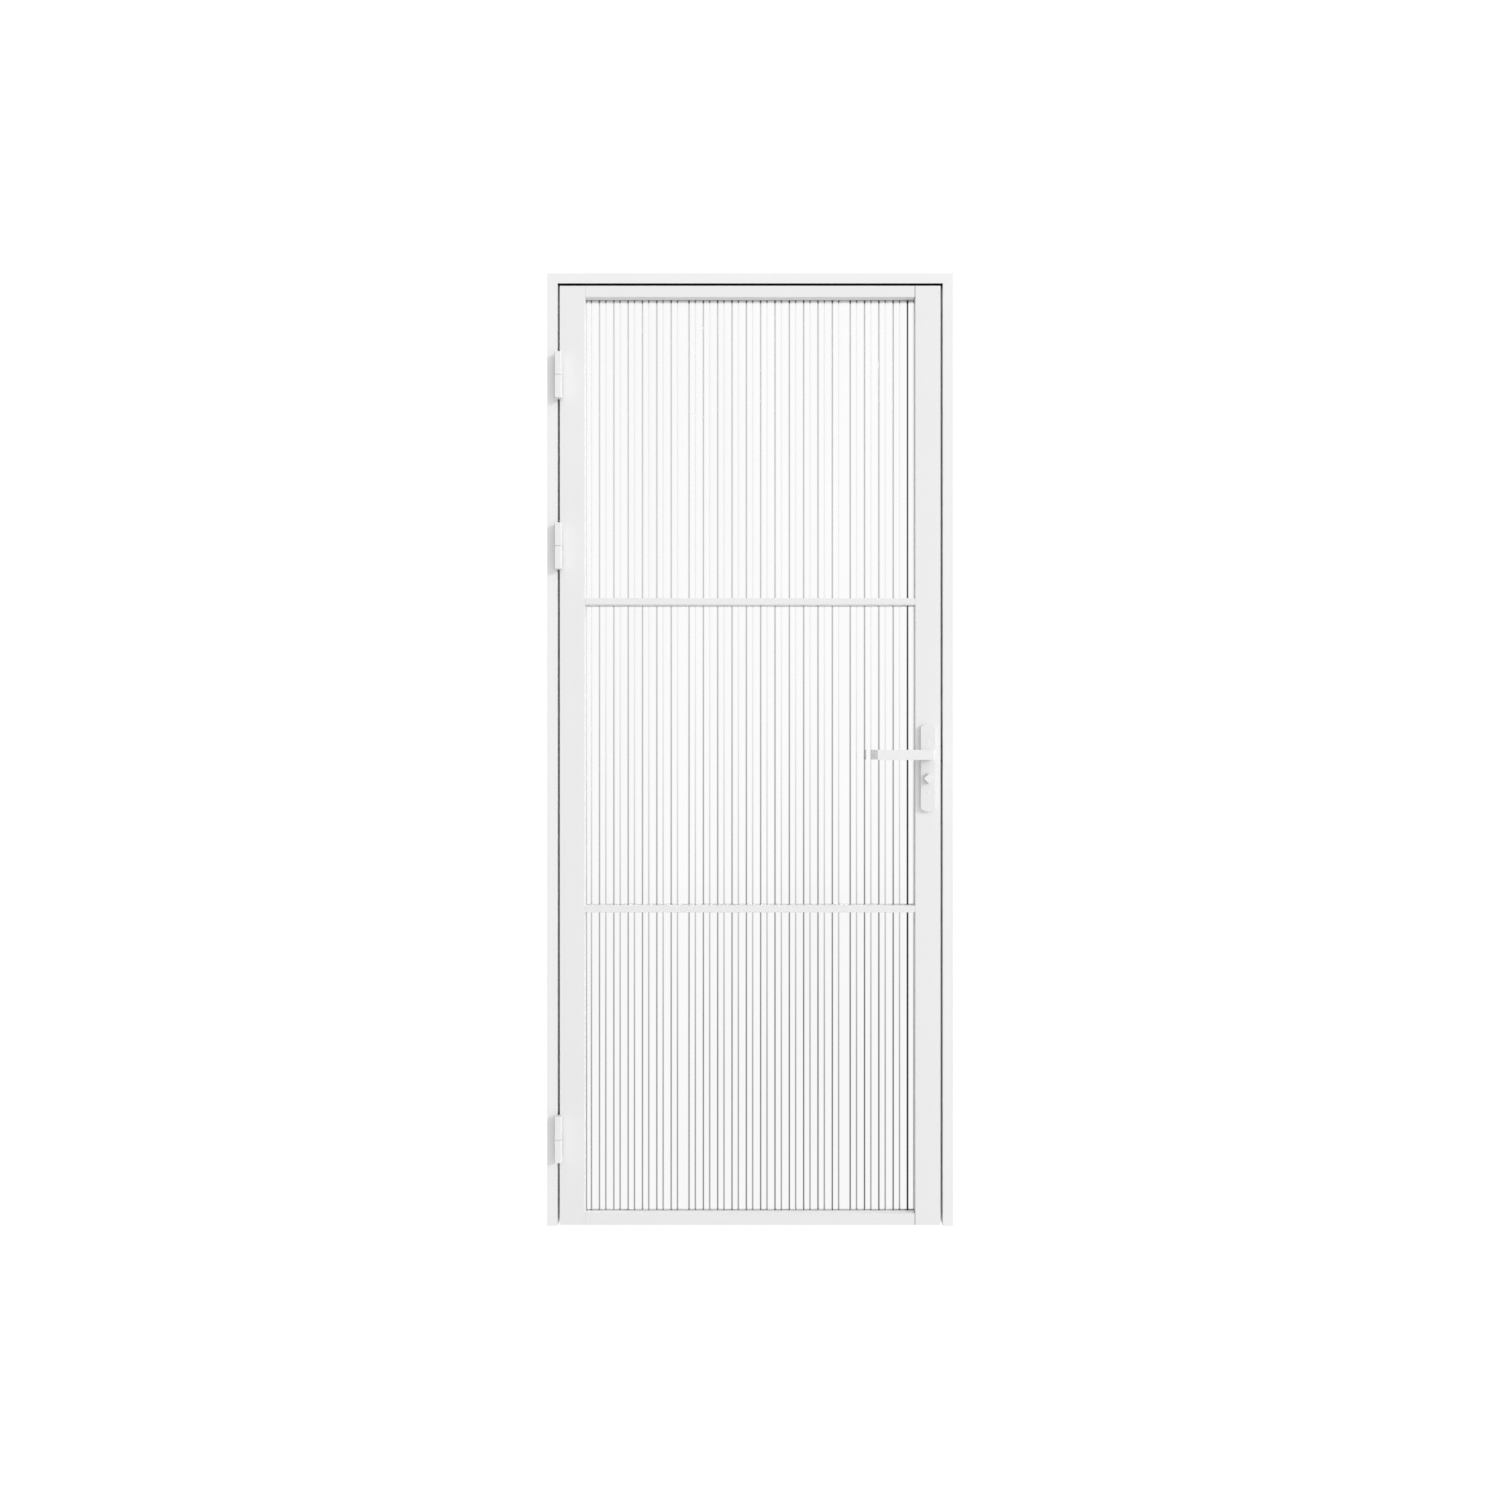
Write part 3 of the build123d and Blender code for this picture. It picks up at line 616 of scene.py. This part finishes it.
def screw(name, body, look, centre, outward, head):
    """Low screw head with a cross recess. Outward is the way its face looks."""
    radius, height = head
    bm = bmesh.new()
    circles = []
    for wide, high in SCREW_RINGS:
        circle = []
        for i in range(SCREW_TURNS):
            angle = 2 * math.pi * i / SCREW_TURNS
            x, y = radius * wide * math.cos(angle), radius * wide * math.sin(angle)
            circle.append(bm.verts.new((x, y, height * high)))
        circles.append(circle)
    for lower, upper in zip(circles, circles[1:]):
        for i in range(SCREW_TURNS):
            j = (i + 1) % SCREW_TURNS
            bm.faces.new((lower[i], lower[j], upper[j], upper[i]))
    bm.faces.new(list(reversed(circles[0])))

    # The cross recess
    outline = cross_outline(radius * CROSS_ARM, radius * CROSS_SLOT)
    rim = [bm.verts.new((x, y, height)) for x, y in outline]
    taper, bed_height = CROSS_BED_TAPER, height * CROSS_BED_HEIGHT
    bed = [bm.verts.new((x * taper, y * taper, bed_height)) for x, y in outline]
    for i in range(len(rim)):
        j = (i + 1) % len(rim)
        bm.faces.new((rim[j], rim[i], bed[i], bed[j]))
    bm.faces.new(bed)

    # The face round it
    edges = []
    for loop in (circles[-1], rim):
        for a, b in zip(loop, loop[1:] + loop[:1]):
            edges.append(bm.edges.get((a, b)) or bm.edges.new((a, b)))
    bmesh.ops.triangle_fill(bm, edges=edges, use_beauty=True, normal=(0, 0, 1))
    bmesh.ops.recalc_face_normals(bm, faces=bm.faces)

    turn = Vector((0, 0, 1)).rotation_difference(Vector(outward)).to_matrix().to_4x4()
    move = Matrix.Translation(Vector(centre) * MM) @ turn @ Matrix.Scale(MM, 4)
    bmesh.ops.transform(bm, matrix=move, verts=bm.verts)
    mesh = bpy.data.meshes.new(name)
    bm.to_mesh(mesh)
    bm.free()
    add_piece(name, mesh, body, look)


for index, z in enumerate(PLATE_SCREW_HEIGHTS):
    centre = (middle("backplate_front", X), low_of("backplate_front", Y), z)
    screw(f"plate_screw_{index}", "leaf", "furniture_paint", centre, (0, -1, 0), PLATE_SCREW)

for place in ("upper", "middle", "lower"):
    leaf_top = high_of(f"hinge_{place}_leaf_half", Z)
    frame_low = low_of(f"hinge_{place}_frame_half", Z)
    for index, (y, along) in enumerate(HINGE_SCREW_PLACES):
        screw(
            f"hinge_{place}_leaf_screw_{index}", "leaf", "furniture_paint",
            (HINGE_LEAF_FACE, y, leaf_top - along), (-1, 0, 0), HINGE_SCREW,
        )
        screw(
            f"hinge_{place}_frame_screw_{index}", "frame", "furniture_paint",
            (HINGE_FRAME_FACE, y, frame_low + along), (1, 0, 0), HINGE_SCREW,
        )

for node_name, body, look, inset, outward in (
    ("lock_faceplate", "leaf", "lock_metal", FACEPLATE_SCREW_INSET, 1),
    ("strike_keep", "frame", "furniture_paint", KEEP_SCREW_INSET, -1),
):
    x = high_of(node_name, X) if outward > 0 else low_of(node_name, X)
    y = middle(node_name, Y)
    top, bottom = high_of(node_name, Z) - inset, low_of(node_name, Z) + inset
    for end, z in (("top", top), ("bottom", bottom)):
        screw(f"{node_name}_screw_{end}", body, look, (x, y, z), (outward, 0, 0), LOCK_SCREW)


# Soft edges on the leaf, the frame and the furniture: the CAD nodes by the starts of
# their names, with the width in millimetres and the segments of the rounding

SOFT_EDGES = (
    (("stile_hinge", "stile_lock"), 1.3, 3),
    (("rail_",), 0.9, 2),
    (("frame_", "bar_", "hinge_"), 0.4, 2),
    (("lever_front", "lever_rear", "backplate_", "thumbturn_knob"), 0.2, 2),
)
JOINED_WITHIN = 0.01
SOFTENED_ANGLE = 40


def soft_edges(thing, width, segments):
    """Rounds the sharp edges of a CAD node a little, once its faces are joined."""
    weld = thing.modifiers.new("joined faces", "WELD")
    weld.merge_threshold = JOINED_WITHIN * MM
    bevel = thing.modifiers.new("soft edges", "BEVEL")
    bevel.width = width * MM
    bevel.segments = segments
    bevel.limit_method = "ANGLE"
    bevel.angle_limit = math.radians(SOFTENED_ANGLE)


for node_name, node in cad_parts.items():
    for starts, width, segments in SOFT_EDGES:
        if node_name.startswith(starts):
            soft_edges(node, width, segments)


# Stage, in metres. Ranges are the strengths at two ends, then how far a place or
# direction leans at these ends.

PAPER_SEEN = 0.94
PAPER_SEEN_THROUGH_GLASS = 0.965
PAPER_TONE = (0.12, 0.12, 0.12, 1)
PAPER_GLOW_DIRECTION = (0.12, 0.0, 0.25)
PAPER_GLOW_RANGE = (0.2, 1.2, -1.0, 1.0)
PAPER_UNDER_DOOR = 0.0005

SKY_SQUARE_ON = (0.0, 0.967, 0.0)
SKY_DIRECTION = (0.42, -0.24, 0.5)
SKY_RANGE = (0.0, 1.6, 0.08, 1.68)

KEY_LIGHT_FROM = Vector((1.5, -1.0, 0.62))
KEY_LIGHT_DISTANCE = 3
KEY_LIGHT_ENERGY = 1.0
KEY_LIGHT_DEGREES = 7

CAMERA_PLACE = (0.4397, -2.5, 1.032)
CAMERA_LENS = 27.67
CAMERA_SENSOR = 36.0


def stage_material():
    """Studio paper: white to the camera, with softer light on the object."""
    made, nodes, links, _ = material("studio paper")
    nodes.clear()
    output = nodes.new("ShaderNodeOutputMaterial")
    path = nodes.new("ShaderNodeLightPath")
    choose = nodes.new("ShaderNodeMixShader")
    seen = nodes.new("ShaderNodeEmission")
    seen.inputs["Strength"].default_value = PAPER_SEEN
    paper = nodes.new("ShaderNodeBsdfDiffuse")
    paper.inputs["Color"].default_value = PAPER_TONE
    both = nodes.new("ShaderNodeAddShader")
    glow = nodes.new("ShaderNodeEmission")
    place = nodes.new("ShaderNodeTexCoord")
    lean = leaning(nodes, links, place.outputs["Object"], PAPER_GLOW_DIRECTION)
    lit = ranged(nodes, links, lean, *PAPER_GLOW_RANGE)

    # Seen through the glass, before any matt face, the paper is nearly white
    unlit = arithmetic(nodes, links, "LESS_THAN", path.outputs["Diffuse Depth"], 0.5)
    through = nodes.new("ShaderNodeMix")
    through.inputs["B"].default_value = PAPER_SEEN_THROUGH_GLASS
    seen_through = arithmetic(nodes, links, "MULTIPLY", path.outputs["Is Transmission Ray"], unlit)
    links.new(seen_through, through.inputs["Factor"])
    links.new(lit, through.inputs["A"])
    links.new(through.outputs["Result"], glow.inputs["Strength"])
    links.new(seen.outputs[0], both.inputs[0])
    links.new(paper.outputs[0], both.inputs[1])
    links.new(path.outputs["Is Camera Ray"], choose.inputs[0])
    links.new(glow.outputs[0], choose.inputs[1])
    links.new(both.outputs[0], choose.inputs[2])
    links.new(choose.outputs[0], output.inputs["Surface"])
    return made


def studio_paper():
    """Floor that sweeps up into a backdrop behind the door."""
    front, rear, curve, top, half_width = -6.0, 3.6, 1.2, 6.0, 8.0
    steps = 24
    line = [(front, 0.0), (rear - curve, 0.0)]
    for i in range(1, steps + 1):
        angle = math.pi / 2 * i / steps
        line.append((rear - curve + curve * math.sin(angle), curve - curve * math.cos(angle)))
    line.append((rear, top))
    middle_x = (cad_low.x + cad_high.x) / 2
    vertices = []
    for x in (middle_x - half_width, middle_x + half_width):
        vertices += [(x, y, z - PAPER_UNDER_DOOR) for y, z in line]
    count = len(line)
    faces = [(i, i + count, i + 1 + count, i + 1) for i in range(count - 1)]
    mesh = bpy.data.meshes.new("studio_paper")
    mesh.from_pydata(vertices, [], faces)
    mesh.shade_smooth()
    paper = bpy.data.objects.new("studio_paper", mesh)
    bpy.context.scene.collection.objects.link(paper)
    mesh.materials.append(stage_material())


studio_paper()


def studio_sky():
    """Surroundings: white to the camera, brightest square on to the door and up to the right."""
    world = bpy.data.worlds.new("studio")
    bpy.context.scene.world = world
    world.use_nodes = True
    nodes = world.node_tree.nodes
    links = world.node_tree.links
    sky = nodes["Background"]
    sky.inputs["Color"].default_value = (1, 1, 1, 1)
    place = nodes.new("ShaderNodeTexCoord")
    either_way = nodes.new("ShaderNodeVectorMath")
    either_way.operation = "ABSOLUTE"
    links.new(place.outputs["Generated"], either_way.inputs[0])
    square_on = leaning(nodes, links, either_way.outputs["Vector"], SKY_SQUARE_ON)
    lean = leaning(nodes, links, place.outputs["Generated"], SKY_DIRECTION)
    both = arithmetic(nodes, links, "ADD", square_on, lean)
    strength = ranged(nodes, links, both, *SKY_RANGE)
    path = nodes.new("ShaderNodeLightPath")
    seen = arithmetic(nodes, links, "MAXIMUM", strength, path.outputs["Is Camera Ray"])
    links.new(seen, sky.inputs["Strength"])


def key_light():
    """One soft light from the right, the front and a little above."""
    lamp = bpy.data.lights.new("key light", "SUN")
    lamp.energy = KEY_LIGHT_ENERGY
    lamp.angle = math.radians(KEY_LIGHT_DEGREES)
    thing = bpy.data.objects.new("key light", lamp)
    thing.rotation_euler = KEY_LIGHT_FROM.to_track_quat("Z", "Y").to_euler()
    thing.location = KEY_LIGHT_FROM * KEY_LIGHT_DISTANCE
    thing.visible_glossy = False
    bpy.context.scene.collection.objects.link(thing)


studio_sky()
key_light()


def camera():
    """The photograph's view: straight on, at the middle of the picture's height."""
    lens = bpy.data.cameras.new("camera")
    lens.sensor_width = CAMERA_SENSOR
    lens.lens = CAMERA_LENS
    thing = bpy.data.objects.new("camera", lens)
    thing.location = CAMERA_PLACE
    thing.rotation_euler = (math.radians(90), 0, 0)
    bpy.context.scene.collection.objects.link(thing)
    bpy.context.scene.camera = thing


camera()
bpy.context.scene.view_settings.view_transform = "Standard"
bpy.context.scene.view_settings.look = "None"

bpy.context.view_layer.update()
